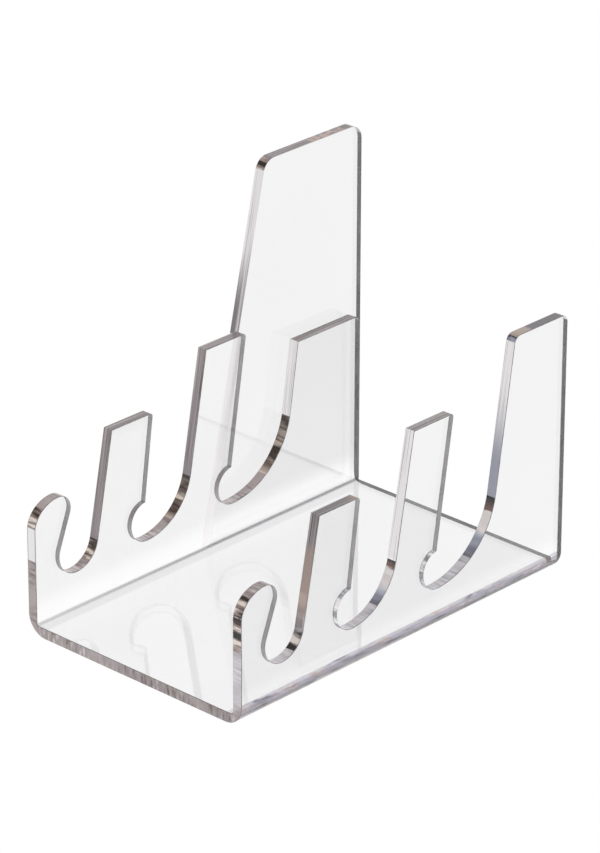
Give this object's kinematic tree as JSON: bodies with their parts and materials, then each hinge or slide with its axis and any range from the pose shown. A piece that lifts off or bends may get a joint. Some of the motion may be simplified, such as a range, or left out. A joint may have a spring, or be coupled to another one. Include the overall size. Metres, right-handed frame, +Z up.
{
  "type": "magazine rack",
  "caption": "Clear bent-sheet magazine rack with a rounded front hook and leaning fingers on both sides, J-shaped slots between them and one tall tapered plate at the rear.",
  "frame": {"origin": "centre of the flat underside of the base, on the surface the rack stands on", "axes": "+Z up, -Y out of the open front, +X towards the side with the tall rear finger"},
  "size_m": [0.2113, 0.3345, 0.281],
  "materials": {
    "bent_tray": "clear polished faces, satin cut edges",
    "tall_plate": "clear polished faces, satin cut edges"
  },
  "bodies": {
    "root": {"bent_tray": "bent_tray", "tall_plate": "tall_plate"}
  },
  "joints": []
}
